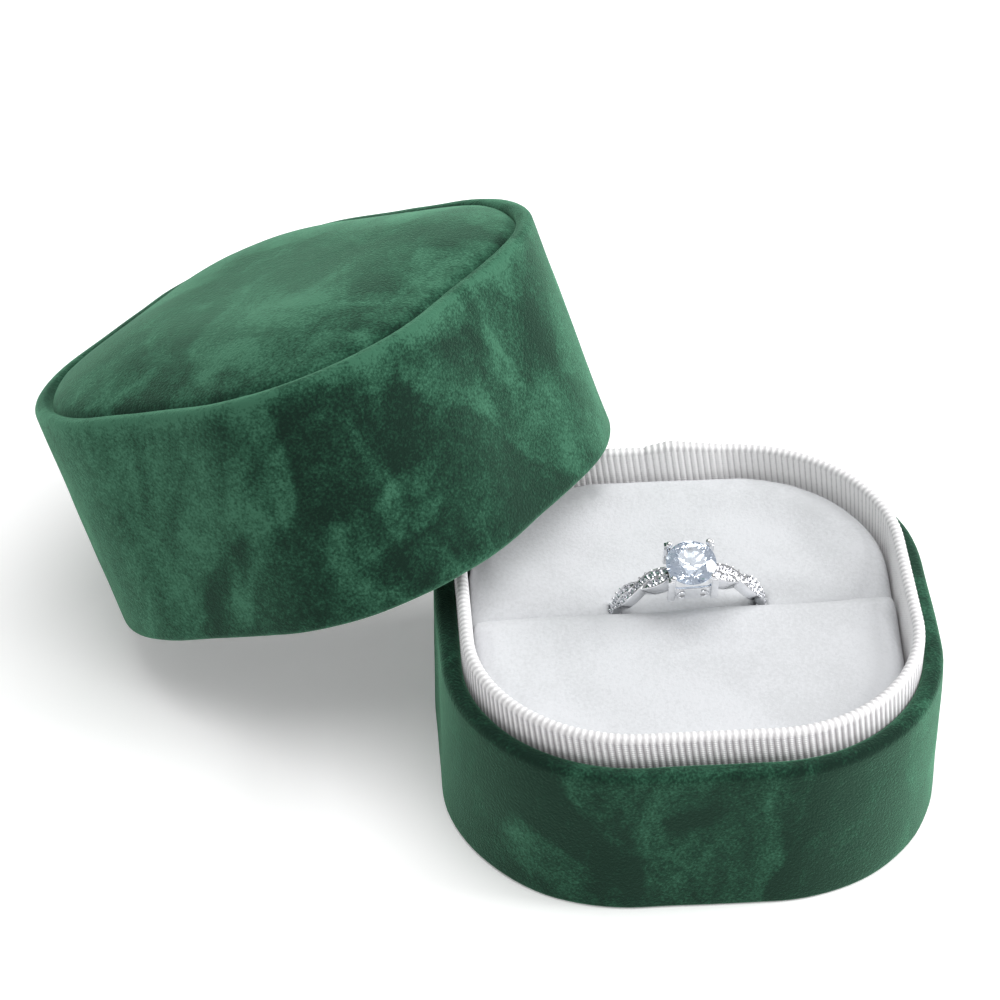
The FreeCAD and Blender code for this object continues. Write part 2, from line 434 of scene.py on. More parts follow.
def makeRibbonCloth(name):  # reads the weave map: across each rib, and along it in millimetres
    values = ribbonCloth
    material, tree, shader = newMaterial(name)
    weave = tree.nodes.new("ShaderNodeUVMap")
    weave.uv_map = "weave"
    split = tree.nodes.new("ShaderNodeSeparateXYZ")
    tree.links.new(weave.outputs["UV"], split.inputs["Vector"])
    across = split.outputs["X"]
    along = split.outputs["Y"]
    turns = addMath(tree, "MULTIPLY", along, 2 * math.pi / values["threadPitch"])
    threads = addMath(tree, "SINE", turns, 0)
    threads = addMath(tree, "MULTIPLY_ADD", threads, 0.5, 0.5)
    side = addMath(tree, "SUBTRACT", across, 0.5)
    side = addMath(tree, "ABSOLUTE", side, 0)
    crown = addMath(tree, "SUBTRACT", 0.5, side)
    fuzz = addNoise(tree, mapped(tree), values["fuzzSize"], 2.0, 0.6)
    fromFold = addMath(tree, "SUBTRACT", along, values["foldPlace"])
    fromFold = addMath(tree, "ABSOLUTE", fromFold, 0)
    fromFold = addMath(tree, "MULTIPLY", fromFold, 0.5)
    nearFold = addRamp(tree, fromFold, values["foldFade"])
    offFold = addMath(tree, "SUBTRACT", 1.0, nearFold)
    # The threads on each crown are a bump and also painted glints; shade runs from painted shade in the
    # grooves to a painted highlight on the crowns.
    threadReliefAndGlint = addMath(tree, "MULTIPLY", threads, crown)
    threadReliefAndGlint = addMath(tree, "MULTIPLY", threadReliefAndGlint, offFold)
    shade = addMath(tree, "SUBTRACT", crown, values["darken"])
    shade = addMath(tree, "MULTIPLY_ADD", threadReliefAndGlint, values["threadLight"], shade)
    shade = addSway(tree, fuzz, values["fuzz"], shade)
    legs = addRamp(tree, shade, values["legs"])
    fold = addRamp(tree, shade, values["fold"])
    inside = addRamp(tree, shade, values["inside"])
    # Painted light: the inner leg takes the lighter ramp.
    atInside = addMath(tree, "LESS_THAN", along, values["foldPlace"])
    legs = addMix(tree, "MIX", atInside, legs, inside)
    # Near the fold, the fold's own painted shading is mixed in.
    tree.links.new(addMix(tree, "MIX", nearFold, legs, fold), shader.inputs["Base Color"])
    setInputs(shader, values["surface"])
    addBump(tree, shader, threadReliefAndGlint, values["threadDepth"])
    return material


def makeFlecked(name, light, dark, size, roughness, depth):  # paper, board, foam and lining
    material, tree, shader = newMaterial(name)
    place = mapped(tree)
    flecks = addNoise(tree, place, size, 4.0, 0.65)
    paint(tree, shader, flecks, [(0.35, dark), (0.65, light)])
    setInputs(shader, {"Roughness": roughness, "Specular IOR Level": 0.2})
    addBump(tree, shader, flecks, depth)
    return material


ringFinish = {
    "scuffSize": 0.8,
    "colours": ((0.3, (0.83, 0.84, 0.86)), (0.7, (0.93, 0.935, 0.95))),
    "roughness": 0.06,
    "scuffRoughness": 0.1,
}


def makeRingMetal(name):
    values = ringFinish
    material, tree, shader = newMaterial(name)
    scuffs = addNoise(tree, mapped(tree), values["scuffSize"], 3.0, 0.6)
    paint(tree, shader, scuffs, values["colours"])
    setInputs(shader, {"Metallic": 1.0})
    rough = addMath(tree, "MULTIPLY_ADD", scuffs, values["scuffRoughness"], values["roughness"])
    tree.links.new(rough, shader.inputs["Roughness"])
    return material


def makeStoneGlass(name, tint, refraction, glow):
    material, tree, shader = newMaterial(name)
    cloud = addNoise(tree, mapped(tree), 2.5, 1.0)
    light = tuple(min(1.0, value * 1.03) for value in tint)  # hardly paler, in soft clouds
    paint(tree, shader, cloud, [(0.3, tint), (0.7, light)])
    setInputs(shader, {
        "Roughness": 0.0,
        "IOR": refraction,
        "Transmission Weight": 1.0,
        "Emission Color": (0.5, 0.68, 1.0, 1.0),
        "Emission Strength": glow,  # stands for the light its facets gather
    })
    return material


# Three copies of the green velvet, painted darker or lighter for the light each piece gets: painted
# shade makes the base darkest and the top lightest; the lid's rims get painted light and the base's rim
# a faint painted shade.
baseVelvet = makeGreenVelvet("baseVelvet", (20, 35, 10), (3, 11, 5), -0.12, -0.015)
lidVelvet = makeGreenVelvet("lidVelvet", (-25, 20, 40), (14, 2, 21), -0.035, 0.16)
topVelvet = makeGreenVelvet("topVelvet", (60, 10, -20), (31, 7, 2), -0.02, 0.0)
padVelvet = makeWhiteVelvet("padVelvet")
ribbonWeave = makeRibbonCloth("ribbonWeave")
greyBoard = makeFlecked("greyBoard", (0.42, 0.40, 0.37), (0.30, 0.285, 0.265), 0.9, 0.9, 0.03)
whiteCard = makeFlecked("whiteCard", (0.80, 0.79, 0.77), (0.72, 0.71, 0.69), 0.6, 0.8, 0.02)
whiteFoam = makeFlecked("whiteFoam", (0.80, 0.80, 0.78), (0.62, 0.62, 0.60), 0.5, 1.0, 0.1)
whiteLining = makeFlecked("whiteLining", (0.78, 0.78, 0.79), (0.70, 0.70, 0.71), 0.4, 0.85, 0.03)
greenSheet = makeFlecked("greenSheet", (0.035, 0.085, 0.055), (0.02, 0.055, 0.035), 0.5, 0.8, 0.03)
ringMetal = makeRingMetal("ringMetal")
clearStone = makeStoneGlass("clearStone", (0.83, 0.90, 1.0), 1.9, 0.035)
smallStone = makeStoneGlass("smallStone", (0.93, 0.92, 0.95), 1.8, 0.01)
print("materials made")


# Green walls of the base and the lid

def outlineAt(inset):  # width and corner of the box's outline, this far in
    return box["width"] - 2 * inset, box["corner"] - inset


def depthInside(point, width, corner):  # how far a point is in from a rounded square's edge
    beyondX = abs(point.x) - (width / 2 - corner) * mm
    beyondY = abs(point.y) - (width / 2 - corner) * mm
    outside = math.hypot(max(beyondX, 0), max(beyondY, 0))
    return corner * mm - outside - min(max(beyondX, beyondY), 0)


def roundRim(band, width, corner, height, amount, cuts):  # both edges of a band at one height
    level = flatAt(height * mm)

    def onLoop(mesh, edge):
        start, end = edgeEnds(mesh, edge)
        step = depthInside(start, width, corner) - depthInside(end, width, corner)
        return level(mesh, edge) and abs(step) < 0.02 * mm
    pick(band, "EDGE", onLoop)
    roundEdges(amount, cuts)
    leaveEdit()


# A standing wall on a rounded square, between two heights, each with the rounding of its edges.
def makeBand(name, width, corner, thickness, low, lowRound, high, highRound):
    band = addRoundedPlate(name, width * mm, corner * mm, low * mm)
    bpy.ops.object.mode_set(mode="EDIT")
    bpy.ops.mesh.select_mode(type="FACE")
    chooseAll()
    bpy.ops.mesh.inset(thickness=thickness * mm)
    bpy.ops.mesh.delete(type="FACE")
    chooseAll()
    extrude((0, 0, (high - low) * mm))
    tidyMesh(band)
    roundRim(band, width, corner, high, highRound, 6)
    roundRim(band, width, corner, low, lowRound, 4)
    return band


# The rim mask says where the velvet's rims get painted light; on the base the same mask carries a faint
# painted shade.
def markRim(piece, closeness):  # one where the cloth turns over an edge, nought elsewhere
    rim = piece.data.attributes.new("rim", "FLOAT", "POINT")
    for vertex, value in zip(piece.data.vertices, rim.data):
        value.value = closeness(vertex.co)


def cutLongEdges(wall, height):  # fine enough to swell
    def upright(mesh, edge):
        start, end = edgeEnds(mesh, edge)
        return abs(start.z - end.z) > 0.6 * height * mm
    pick(wall, "EDGE", upright)
    bpy.ops.mesh.subdivide(number_cuts=box["upCuts"])

    def longLevel(mesh, edge):
        start, end = edgeEnds(mesh, edge)
        return (end - start).length > box["longEdge"] * mm and abs(start.z - end.z) < 10 * touch
    pick(wall, "EDGE", longLevel)
    bpy.ops.mesh.subdivide(number_cuts=box["roundCuts"])
    leaveEdit()


def wallRim(point, high):
    inward = depthInside(point, box["width"], box["corner"]) / mm
    down = high - point.z / mm
    away = math.hypot(inward - box["rimInset"], down - box["rimInset"])
    return max(0, 1 - away / box["rimSpread"])


def makeWall(name, thickness, lowRound, high, highRound):
    wall = makeBand(name, box["width"], box["corner"], thickness, 0, lowRound, high, highRound)
    cutLongEdges(wall, high)
    markRim(wall, lambda point: wallRim(point, high))
    wander(wall, box["wave"], box["waveSize"])
    return wall


def makeBaseVelvet():
    wall = makeWall("baseVelvetWall", box["ledge"], box["footRound"], box["baseHeight"], box["rimRound"])
    smooth(wall, 60)
    finishPiece(wall, "base", baseVelvet, "velvet_green", "base_velvet")


def makeLidVelvet():
    wall = makeWall("lidVelvetWall", lid["wall"], box["rimRound"], lid["height"], lid["lipRound"])
    settle(wall, lid["place"], lid["turn"])
    smooth(wall, 60)
    finishPiece(wall, "lid", lidVelvet, "velvet_green", "lid_velvet")


topPanel = {
    "inset": 2.25,
    "bottom": 27.3,
    "edge": 29.0,  # where the side of the panel starts to turn over
    "shoulder": 1.5,
    "shoulderRise": 0.85,  # share of a full round
    "rise": 4.2,
    "reach": 17.0,  # how far in the dome keeps rising
    "steps": 18,
    "wave": 0.25,
    "waveSize": 14.0,
}


def panelHeight(inward):  # height of the padded top over its edge, by distance in from its side
    shoulder = topPanel["shoulder"]
    rolled = min(inward, shoulder)
    height = math.sqrt(shoulder ** 2 - (shoulder - rolled) ** 2) * topPanel["shoulderRise"]
    spread = min(inward / topPanel["reach"], 1)
    return height + topPanel["rise"] * (1 - (1 - spread) ** 2)


def makeTopPanel():
    width, corner = outlineAt(topPanel["inset"])
    panel = addRoundedPlate("topPanelVelvet", width * mm, corner * mm, topPanel["bottom"] * mm)
    bpy.ops.object.mode_set(mode="EDIT")
    bpy.ops.mesh.select_mode(type="FACE")
    chooseAll()
    side = topPanel["edge"] - topPanel["bottom"]
    extrude((0, 0, side * mm))
    inward = 0
    for step in range(topPanel["steps"]):
        goal = topPanel["reach"] * ((step + 1) / topPanel["steps"]) ** 2
        lift = panelHeight(goal) - panelHeight(inward)
        bpy.ops.mesh.inset(thickness=(goal - inward) * mm, depth=lift * mm)
        inward = goal
    bpy.ops.mesh.poke()
    tidyMesh(panel)
    wander(panel, topPanel["wave"], topPanel["waveSize"])
    settle(panel, lid["place"], lid["turn"])
    smooth(panel, 60)
    finishPiece(panel, "lid", topVelvet, "velvet_green", "lid_top_velvet", "lid_top_foam")


makeBaseVelvet()
makeLidVelvet()
makeTopPanel()
print("green velvet made")


# Ribbed ribbon folded over the neck

ribbon = {
    "inset": 2.55,
    "thickness": 1.3,  # at the grooves between ribs
    "relief": 0.12,
    "ribSteps": ((0.2, 0.7), (0.4, 0.3)),  # how far in from a rib's sides, and share of the relief
    "leg": 9.0,
    "stand": 0.25,  # how far the fold stands over the neck's card
    "ribs": 228,
    "slant": 8.0,  # degrees the ribs lean along the ribbon
    "foldCuts": 8,
    "lean": 0.7,  # degrees outward
    "lapRibs": 12,  # where the ribbon's end lies over its start
    "lapRiseRibs": 9,
    "lapSinkRibs": 5,
    "lapRaise": 0.7,
    "lapSwell": 0.25,
    "lapMiddle": (3.6, 26.6),
    "clothThickness": 0.1,
}


def makeRib(name, pitch):  # one rib's strip, up the inside, over the fold and down the outside
    half = ribbon["thickness"] / 2 * mm
    turnover = -(ribbon["thickness"] / 2 + ribbon["relief"]) * mm
    bottom = -ribbon["leg"] * mm
    clearSelection()
    spot = (pitch / 2, half, (turnover + bottom) / 2)
    bpy.ops.mesh.primitive_plane_add(size=1, location=spot, rotation=(math.radians(90), 0, 0))
    rib = bpy.context.object
    rib.name = name
    rib.scale = (pitch, turnover - bottom, 1)
    applyTransform(location=True, rotation=True, scale=True)
    pick(rib, "EDGE", flatAt(turnover))
    centre = (0, 0, turnover)
    bpy.ops.mesh.spin(steps=ribbon["foldCuts"], angle=math.pi, center=centre, axis=(-1, 0, 0))
    extrude((0, 0, bottom - turnover))
    tidyMesh(rib)
    addWeaveMap(rib, pitch, half, turnover, bottom)
    pick(rib, "EDGE", alongX(0.5 * pitch))
    bpy.ops.mesh.subdivide(number_cuts=3)
    for share, part in ribbon["ribSteps"]:  # raises the flanks and then the crown
        pick(rib, "VERT", lambda mesh, point: share * pitch < point.co.x < (1 - share) * pitch)
        bpy.ops.transform.shrink_fatten(value=ribbon["relief"] * mm * part)
    chooseAll()
    bpy.ops.transform.rotate(
        value=-math.radians(ribbon["lean"]), orient_axis="X", center_override=(0, 0, bottom))
    leaveEdit()
    return rib


def addWeaveMap(rib, pitch, half, turnover, bottom):  # across by the rib's width, along in millimetres
    weave = rib.data.uv_layers.new(name="weave")
    for loop in rib.data.loops:
        point = rib.data.vertices[loop.vertex_index].co
        if point.z > turnover + 1e-7:
            along = half * math.atan2(point.z - turnover, point.y) + turnover - bottom
        elif point.y > 0:
            along = point.z - bottom
        else:
            along = turnover - bottom + math.pi * half + turnover - point.z
        weave.data[loop.index].uv = (point.x / pitch, along / mm)


def makeNeckPath(name, inset, height):
    width, corner = outlineAt(inset)
    plate = addRoundedPlate(name, width * mm, corner * mm, height, cuts=48)
    editAll()
    bpy.ops.mesh.delete(type="ONLY_FACE")
    leaveEdit()
    bpy.ops.object.convert(target="CURVE")
    plate.data.dimensions = "3D"
    return plate


def distanceAlong(path, goal):  # how far along the path the nearest place to a point is
    points = [point.co.xy for point in path.data.splines[0].points]
    travelled = 0.0
    best = (1.0, 0.0)
    for start, end in zip(points, points[1:] + points[:1]):
        run = end - start
        share = min(max((goal - start).dot(run) / run.length_squared, 0), 1)
        away = (start + run * share - goal).length
        best = min(best, (away, travelled + share * run.length))
        travelled += run.length
    return best[1]


def raiseEnd(rib, pitch, count):  # the ribbon's cut end stands proud and its other side sinks in
    for number in range(count):
        share = min((number + 1) / ribbon["lapRiseRibs"], (count - number) / ribbon["lapSinkRibs"])
        low = (number + 0.01) * pitch
        high = (number + 1.01) * pitch
        pick(rib, "VERT", lambda mesh, point: low < point.co.x <= high)
        bpy.ops.transform.shrink_fatten(value=ribbon["lapSwell"] * share * mm)
        moveBy((0, 0, ribbon["lapRaise"] * share * mm))
    leaveEdit()


def slantRibs(rib):  # the fold moves along by one leg's lean, and the outer ends by two
    middle = -ribbon["leg"] / 2 * mm
    lean = (ribbon["leg"] - ribbon["thickness"] / 2) * math.tan(math.radians(ribbon["slant"])) * mm
    pick(rib, "VERT", lambda mesh, point: point.co.z > middle)
    moveBy((lean, 0, 0))
    pick(rib, "VERT", lambda mesh, point: point.co.z < middle and point.co.y < 0)
    moveBy((2 * lean, 0, 0))
    leaveEdit()


def layRibs(path, name, pitch, count, start):
    rib = makeRib(name, pitch)
    row = rib.modifiers.new("row", "ARRAY")
    row.count = count
    row.use_relative_offset = False
    row.use_constant_offset = True
    row.constant_offset_displace = (pitch, 0, 0)
    row.use_merge_vertices = True
    row.merge_threshold = touch
    applyModifiers(rib)
    if start:
        raiseEnd(rib, pitch, count)
    slantRibs(rib)
    editAll()
    moveBy((start, 0, 0))
    leaveEdit()
    bend = rib.modifiers.new("bend", "CURVE")
    bend.object = path
    applyModifiers(rib)
    tidyMesh(rib, 4e-5)
    cloth = rib.modifiers.new("cloth", "SOLIDIFY")
    cloth.thickness = ribbon["clothThickness"] * mm
    cloth.offset = -1
    applyModifiers(rib)
    return rib


def makeNeckRibbon():
    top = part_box("neck_ribbon")[1].z
    inset = ribbon["inset"] + ribbon["thickness"] / 2 + ribbon["relief"]
    path = makeNeckPath("neckPath", inset, top + ribbon["stand"] * mm)
    pitch = path.data.splines[0].calc_length() / ribbon["ribs"]
    band = layRibs(path, "neckRibbon", pitch, ribbon["ribs"], 0)
    lapMiddle = distanceAlong(path, Vector(ribbon["lapMiddle"]) * mm)
    lapStart = lapMiddle - ribbon["lapRibs"] / 2 * pitch
    lap = layRibs(path, "ribbonLap", pitch, ribbon["lapRibs"], lapStart)
    bpy.data.objects.remove(path)
    band = join([band, lap], "neckRibbon")
    smooth(band, 70)
    finishPiece(band, "base", ribbonWeave, "ribbon_white", "neck_ribbon")


makeNeckRibbon()
print("ribbon made")


# White pads

pads = {
    "inset": 4.25,
    "bottom": 2.5,
    "top": 20.0,
    "slitY": 0.7,
    "slitTurn": 1.5,
    "slitGap": 0.12,
    "outerRound": 0.7,
    "frontLip": 0.35,  # rounding of each pad's edge at the slit
    "rearLip": 2.4,
    "frontLift": 0.45,
    "rearDip": 0.8,
    "backLift": 1.2,  # where the neck presses the rear pad's edge up
    "backDown": 1.5,
    "backFrom": 10.0,
    "backInset": 2.0,
    "backReach": 8.0,
    "voxel": 0.55,
    "softenings": 3,
    "lipWidth": 0.9,  # beside the slit, what is lifted or dipped
    "lipDown": 2.0,
    "lipReach": 4.5,
    "heldDown": 2.2,  # the cloth is held below this and close to the slit
    "heldWidth": 0.5,
    "evenings": 8,
    "sharpWidth": 1.5,  # beside the slit, what isn't evened out
    "wave": 0.1,
    "waveSize": 9.0,
}

ringSeat = {
    "x": 0.65,
    "behind": 1.25,
    "lean": 20.0,
    "sink": 3.6,
    "roll": -1.6,  # degrees round the finger
    "pocketHalf": 1.4,
    "pocketOuter": 9.95,
    "pocketInner": 8.35,
}


def slitMatrix():
    middle = Matrix.Translation(Vector((0, pads["slitY"], pads["top"])) * mm)
    return middle @ Matrix.Rotation(math.radians(pads["slitTurn"]), 4, "Z")


def seatMatrix():  # where the ring stands at the top of the pads
    spot = Matrix.Translation(Vector((ringSeat["x"], ringSeat["behind"], 0)) * mm)
    return slitMatrix() @ spot @ Matrix.Rotation(math.radians(ringSeat["lean"]), 4, "X")


def sunkMatrix():  # the same for the ring's centre
    return seatMatrix() @ Matrix.Translation((0, 0, -ringSeat["sink"] * mm))


def addPocketCutter():  # room for the band, standing in the slit
    clearSelection()
    bpy.ops.mesh.primitive_cylinder_add(
        vertices=72, radius=ringSeat["pocketOuter"] * mm, depth=2 * ringSeat["pocketHalf"] * mm,
        rotation=(math.radians(90), 0, 0))
    cutter = bpy.context.object
    cutter.name = "pocketCutter"
    applyTransform(rotation=True)
    pick(cutter, "FACE", lambda mesh, face: abs(face.normal.y) > 0.9)
    bpy.ops.mesh.inset(thickness=(ringSeat["pocketOuter"] - ringSeat["pocketInner"]) * mm)
    bpy.ops.mesh.bridge_edge_loops()
    tidyMesh(cutter)
    cutter.matrix_world = sunkMatrix()
    return cutter


filling = {
    "enlarge": 20,  # cloth behaves best at about a metre
    "pressure": 2.5,
    "stiffness": 20.0,
    "frames": 12,
    "quality": 4,
    "mass": 0.2,
    "most": 0.55,
}


def plump(piece, held):  # the padding presses the cloth up a little between where it is held
    activate(piece)
    heldPoints = [vertex.index for vertex in piece.data.vertices if held(vertex.co)]
    piece.vertex_groups.new(name="held").add(heldPoints, 1.0, "REPLACE")
    piece.scale = [filling["enlarge"]] * 3
    applyTransform(scale=True)
    before = [vertex.co.copy() for vertex in piece.data.vertices]
    cloth = piece.modifiers.new("plump", "CLOTH")
    cloth.settings.quality = filling["quality"]
    cloth.settings.mass = filling["mass"]
    cloth.settings.tension_stiffness = filling["stiffness"]
    cloth.settings.compression_stiffness = filling["stiffness"]
    cloth.settings.use_pressure = True
    cloth.settings.uniform_pressure_force = filling["pressure"]
    cloth.settings.vertex_group_mass = "held"
    cloth.settings.effector_weights.gravity = 0
    cloth.collision_settings.use_collision = False
    cloth.point_cache.frame_end = filling["frames"]
    for frameNumber in range(1, filling["frames"] + 1):
        bpy.context.scene.frame_set(frameNumber)
    applyModifiers(piece)
    bpy.context.scene.frame_set(1)
    most = filling["most"] * mm * filling["enlarge"]
    for vertex, old in zip(piece.data.vertices, before):
        move = vertex.co - old
        if move.length > most:
            vertex.co = old + move * (most / move.length)
    piece.scale = [1 / filling["enlarge"]] * 3
    applyTransform(scale=True)
    piece.vertex_groups.clear()


def pullUp(rise, reach):  # takes what lies near the picked points along, less and less
    bpy.ops.transform.translate(
        value=(0, 0, rise * mm), use_proportional_edit=True, proportional_edit_falloff="SMOOTH",
        proportional_size=reach * mm)
    leaveEdit()


def liftBackEdge(pad):
    width, corner = outlineAt(pads["inset"])
    top = pads["top"] * mm

    def atBack(mesh, point):
        high = point.co.z > top - pads["backDown"] * mm
        behind = point.co.y > pads["backFrom"] * mm
        return high and behind and depthInside(point.co, width, corner) < pads["backInset"] * mm
    pick(pad, "VERT", atBack)
    pullUp(pads["backLift"], pads["backReach"])


def makePad(name, side, lip, lift, *nodes):
    width, corner = outlineAt(pads["inset"])
    block = addRoundedPlate(name, width * mm, corner * mm, pads["bottom"] * mm)
    editAll()
    rise = (pads["top"] - pads["bottom"]) * mm
    extrude((0, 0, rise))
    across = slitMatrix().to_3x3() @ Vector((0, 1, 0))
    middle = slitMatrix().translation
    edge = middle + across * (side * pads["slitGap"] * mm)
    chooseAll()
    bpy.ops.mesh.bisect(
        plane_co=edge, plane_no=across, use_fill=True, clear_outer=side < 0, clear_inner=side > 0)
    tidyMesh(block)
    top = pads["top"] * mm
    onTop = flatAt(top)

    def atSlit(point, reach=0.05):
        return abs((point - edge).dot(across)) < reach * mm

    def slitEdge(mesh, edgeHere):
        start, end = edgeEnds(mesh, edgeHere)
        return onTop(mesh, edgeHere) and atSlit(start) and atSlit(end)

    def outerEdge(mesh, edgeHere):
        return onTop(mesh, edgeHere) and not slitEdge(mesh, edgeHere)
    pick(block, "EDGE", outerEdge)
    roundEdges(pads["outerRound"], 4)
    pick(block, "EDGE", slitEdge)
    roundEdges(lip, 4)
    leaveEdit()
    cutter = addPocketCutter()
    activate(block)
    cut = block.modifiers.new("pocket", "BOOLEAN")
    cut.object = cutter
    cut.operation = "DIFFERENCE"
    cut.solver = "EXACT"
    fine = block.modifiers.new("cloth", "REMESH")
    fine.mode = "VOXEL"
    fine.voxel_size = pads["voxel"] * mm
    soften = block.modifiers.new("soften", "SMOOTH")
    soften.iterations = pads["softenings"]
    applyModifiers(block)
    bpy.data.objects.remove(cutter)
    lipLow = top - pads["lipDown"] * mm
    pick(block, "VERT", lambda mesh, point: atSlit(point.co, pads["lipWidth"]) and point.co.z > lipLow)
    pullUp(lift, pads["lipReach"])
    heldLow = top - pads["heldDown"] * mm
    plump(block, lambda point: point.z < heldLow or atSlit(point, pads["heldWidth"]))
    if side > 0:
        liftBackEdge(block)
    even = block.modifiers.new("even", "SMOOTH")
    even.iterations = pads["evenings"]
    even.vertex_group = "open"
    sharp = pads["sharpWidth"]
    openPoints = [vertex.index for vertex in block.data.vertices if not atSlit(vertex.co, sharp)]
    block.vertex_groups.new(name="open").add(openPoints, 1.0, "REPLACE")
    applyModifiers(block)
    block.vertex_groups.clear()
    wander(block, pads["wave"], pads["waveSize"])
    finer = block.modifiers.new("finer", "SUBSURF")
    finer.levels = 1
    finer.render_levels = 1
    applyModifiers(block)
    smooth(block, 80)
    finishPiece(block, "base", padVelvet, "velvet_white", *nodes)


makePad("padFront", -1, pads["frontLip"], pads["frontLift"], "pad_velvet_front", "pad_foam_front")
makePad("padRear", 1, pads["rearLip"], -pads["rearDip"], "pad_velvet_rear", "pad_foam_rear")
print("pads made")


# Ring: made lying flat with its top towards +Y, then stood up in the slit

ring = {
    "bore": 8.65,
    "thickness": 2.1,
    "bandWidth": 2.4,
    "strandWidth": 1.22,
    "strandHeight": 1.8,
    "strandRound": 0.13,
    "setBorder": 0.1,  # metal left beside the sunk channel of stones
    "setDepth": 0.08,
    "swing": 0.6,  # how far the strands part sideways
    "step": 0.12,  # and over each other
    "climb": 0.6,  # how far the shoulders rise to the stone
    "climbFrom": 34.0,
    "taper": 1.05,  # thinner again where the shank goes down into the slit
    "taperFrom": 30.0,
    "start": 14.0,  # degrees from the top
    "cross": 36.0,
    "period": 28.0,  # degrees between one crossing and the next
    "end": 86.0,
    "lowerThickness": 1.1,
    "lowerRound": 0.45,
    "lowerStart": 82.0,
    "sections": 42,
    "paveSize": 0.84,
    "paveTable": 0.55,
    "paveDepth": 0.2,
    "pavePitch": 0.9,
    "paveStart": 17.0,
    "paveEnd": 79.0,
    "paveCover": 8.0,  # degrees beside the crossing without stones on the lower strand
    "paveStand": 0.02,
    "beadSize": 0.3,
    "beadStand": 0.03,
    "beadAside": 0.36,  # share of the strand's width
}
ringMiddle = ring["bore"] + ring["thickness"] / 2


def flatPlace(angle):  # along the unbent shank, by degrees from the top
    return (math.pi + math.radians(angle)) * ringMiddle


def strandShift(over, angle):  # how far a strand steps out and sideways there
    phase = math.pi * (angle - ring["cross"]) / ring["period"]
    return -over * ring["step"] * math.cos(phase), -over * ring["swing"] * math.sin(phase)


def shoulderRise(angle):
    near = max(0, (ring["climbFrom"] - angle) / (ring["climbFrom"] - ring["start"]))
    far = max(0, (angle - ring["taperFrom"]) / (ring["end"] - ring["taperFrom"]))
    return ring["climb"] * near ** 1.5 - ring["taper"] * far


def makeStrand(over):
    low = flatPlace(ring["start"])
    high = flatPlace(ring["end"])
    size = (high - low, ring["strandHeight"], ring["strandWidth"])
    clearSelection()
    bpy.ops.mesh.primitive_cube_add(size=1, location=((low + high) / 2 * mm, 0, 0))
    strand = bpy.context.object
    strand.name = "strand"
    strand.scale = Vector(size) * mm
    applyTransform(location=True, scale=True)
    pick(strand, "EDGE", alongX(5 * mm))
    roundEdges(ring["strandRound"], 3)
    pick(strand, "EDGE", alongX(5 * mm))
    bpy.ops.mesh.subdivide(number_cuts=ring["sections"] - 1)
    crown = ring["strandHeight"] / 2 * mm
    pick(strand, "FACE", lambda mesh, face: face.normal.y > 0.99 and face.center.y > crown - touch)
    bpy.ops.mesh.inset(thickness=ring["setBorder"] * mm, depth=-ring["setDepth"] * mm)
    for section in range(ring["sections"] + 1):
        share = section / ring["sections"]
        place = (low + share * (high - low)) * mm
        angle = ring["start"] + share * (ring["end"] - ring["start"])
        out, sideways = strandShift(over, angle)
        reach = 0.3 * (high - low) / ring["sections"] * mm

        def atSection(mesh, point):
            return abs(point.co.x - place) < reach
        pick(strand, "VERT", lambda mesh, point: atSection(mesh, point) and point.co.y > 0)
        moveBy((0, shoulderRise(angle) * mm, 0))
        pick(strand, "VERT", atSection)
        moveBy((0, out * mm, sideways * mm))
    leaveEdit()
    return strand


def makePaveStone():  # small cut stone lying on +Y
    clearSelection()
    size = ring["paveSize"] / 2 * mm
    bpy.ops.mesh.primitive_cone_add(
        vertices=8, radius1=size, radius2=size * ring["paveTable"], depth=ring["paveDepth"] * mm,
        rotation=(math.radians(-90), 0, 0))
    stone = bpy.context.object
    applyTransform(rotation=True)
    return stone


def makeBead():
    clearSelection()
    bpy.ops.mesh.primitive_ico_sphere_add(subdivisions=1, radius=ring["beadSize"] / 2 * mm)
    return bpy.context.object


def copyTo(pattern, place):  # a copy with its own mesh, moved for good
    twin = pattern.copy()
    twin.data = pattern.data.copy()
    bpy.context.scene.collection.objects.link(twin)
    activate(twin)
    twin.location = place
    applyTransform(location=True)
    return twin


def setPave():
    stonePattern = makePaveStone()
    beadPattern = makeBead()
    stones = []
    beads = []
    crown = ring["strandHeight"] / 2
    stepAngle = math.degrees(ring["pavePitch"] / (ringMiddle + crown))
    for over in (-1, 1):
        angle = ring["paveStart"]
        while angle < ring["paveEnd"]:
            out, sideways = strandShift(over, angle)
            out += shoulderRise(angle)
            covered = over > 0 and abs(angle - ring["cross"]) < ring["paveCover"]
            if not covered:
                spot = Vector((flatPlace(angle), crown + out + ring["paveStand"], sideways))
                stones.append(copyTo(stonePattern, spot * mm))
                between = flatPlace(angle + stepAngle / 2)
                for edge in (-1, 1):
                    aside = sideways + edge * ring["strandWidth"] * ring["beadAside"]
                    spot = Vector((between, crown + out + ring["beadStand"], aside))
                    beads.append(copyTo(beadPattern, spot * mm))
            angle += stepAngle
    bpy.data.objects.remove(stonePattern)
    bpy.data.objects.remove(beadPattern)
    return join(stones, "paveStones"), join(beads, "paveBeads")


def bendRound(piece):  # from straight to round the finger
    clearSelection()
    bpy.ops.curve.primitive_bezier_circle_add(radius=ringMiddle * mm)
    circle = bpy.context.object
    circle.data.resolution_u = 64
    bend = piece.modifiers.new("bend", "CURVE")
    bend.object = circle
    applyModifiers(piece)
    bpy.data.objects.remove(circle)


def addMirrored(piece):  # the same on the other shoulder
    activate(piece)
    editAll()
    bpy.ops.mesh.duplicate()
    bpy.ops.transform.resize(value=(-1, 1, 1), center_override=(0, 0, 0))
    bpy.ops.mesh.flip_normals()
    leaveEdit()


